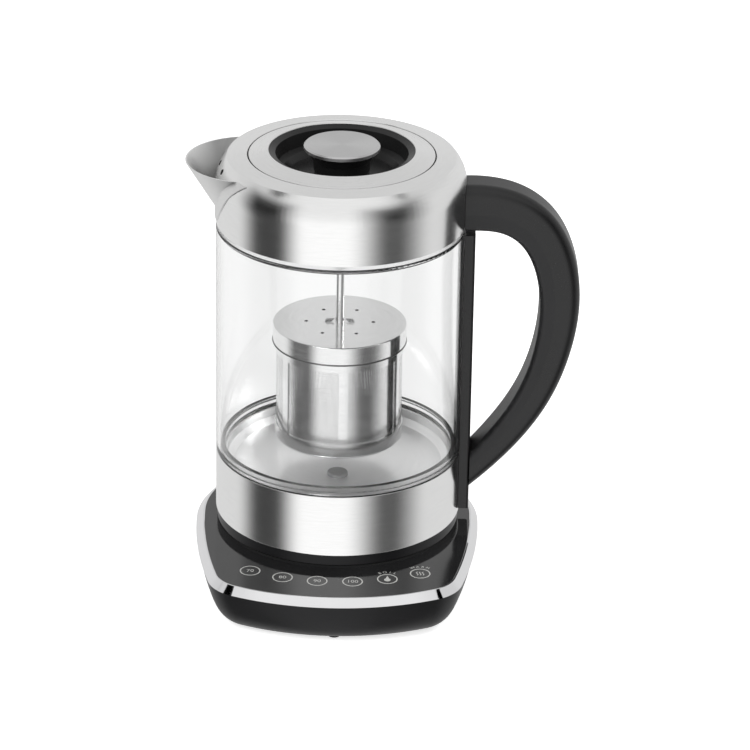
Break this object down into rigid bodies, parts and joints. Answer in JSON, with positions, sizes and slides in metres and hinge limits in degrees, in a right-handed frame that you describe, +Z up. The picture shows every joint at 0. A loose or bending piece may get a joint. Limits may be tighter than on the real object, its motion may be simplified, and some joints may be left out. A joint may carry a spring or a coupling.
{
  "type": "electric glass tea maker",
  "caption": "Glass kettle with steel collars, pouring spout and loop handle, a lift-out lid carrying a mesh tea infuser, on a powered swivel base with touch keys.",
  "frame": {"origin": "on the kettle's own axis, which is also the connector post's, at the level of the worktop under the feet", "axes": "+Z up, +X towards the handle, -X towards the spout, -Y towards the touch panel"},
  "size_m": [0.2281, 0.1983, 0.2648],
  "materials": {
    "shell_black": "satin moulded black",
    "panel_gloss": "glossy dark grey",
    "chrome": "mirror plated",
    "brushed_steel": "brushed round the axis",
    "polished_steel": "polished",
    "heater_steel": "fine satin",
    "clear_glass": "clear",
    "seal_grey": "soft matt",
    "rubber_black": "matt",
    "handle_black": "satin charcoal",
    "cup_black": "polished black",
    "plug_black": "matt",
    "brass": "plain",
    "aluminium": "cast",
    "board_green": "solder mask",
    "component": "moulded",
    "screw_steel": "zinc plated"
  },
  "bodies": {
    "base": {"base_shell": "shell_black", "bottom_cover": "shell_black", "base_screws": "screw_steel", "foot_pads": "rubber_black", "base_deck": "shell_black", "chrome_trim": "chrome", "control_panel": "panel_gloss", "kettle_seat": "shell_black", "connector_post": "shell_black", "post_contacts": "brass", "power_board": "board_green", "relay": "component", "transformer": "component", "control_board": "board_green", "touch_springs": "brass", "lead_grommet": "rubber_black"},
    "coupler": {"connector_socket": "shell_black", "socket_contacts": "brass"},
    "kettle": {"kettle_foot": "shell_black", "lower_collar": "brushed_steel", "heater_dish": "heater_steel", "temperature_probe": "polished_steel", "heat_spreader": "aluminium", "heating_element": "aluminium", "safety_cutout": "component", "lower_seal": "seal_grey", "glass_jug": "clear_glass", "upper_seal": "seal_grey", "upper_collar": "brushed_steel", "lid_seat": "plug_black", "spout": "brushed_steel", "handle_strap": "handle_black", "handle_shell": "handle_black", "handle_liner": "handle_black"},
    "lid": {"lid_ring": "brushed_steel", "knob_cup": "cup_black", "lid_knob": "cup_black", "knob_cap": "brushed_steel", "lid_plug": "plug_black", "lid_gasket": "seal_grey", "infuser_rod": "polished_steel", "infuser_hub": "polished_steel", "infuser_cap": "polished_steel"},
    "basket": {"infuser_basket": "polished_steel", "basket_pan": "polished_steel", "mesh_sleeve": "polished_steel"}
  },
  "joints": [
    {"name": "kettle_lift", "type": "slide", "parent": "base", "child": "coupler", "axis": [0, 0, 1], "range_m": [0, 0.06]},
    {"name": "kettle_swivel", "type": "hinge", "parent": "coupler", "child": "kettle", "pos_m": [0, 0, 0.04], "axis": [0, 0, 1], "continuous": true},
    {"name": "lid_lift", "type": "slide", "parent": "kettle", "child": "lid", "axis": [0, 0, 1], "range_m": [0, 0.19]},
    {"name": "basket_twist", "type": "hinge", "parent": "lid", "child": "basket", "pos_m": [0, 0, 0.15], "axis": [0, 0, 1], "range_deg": [0, 40]}
  ]
}
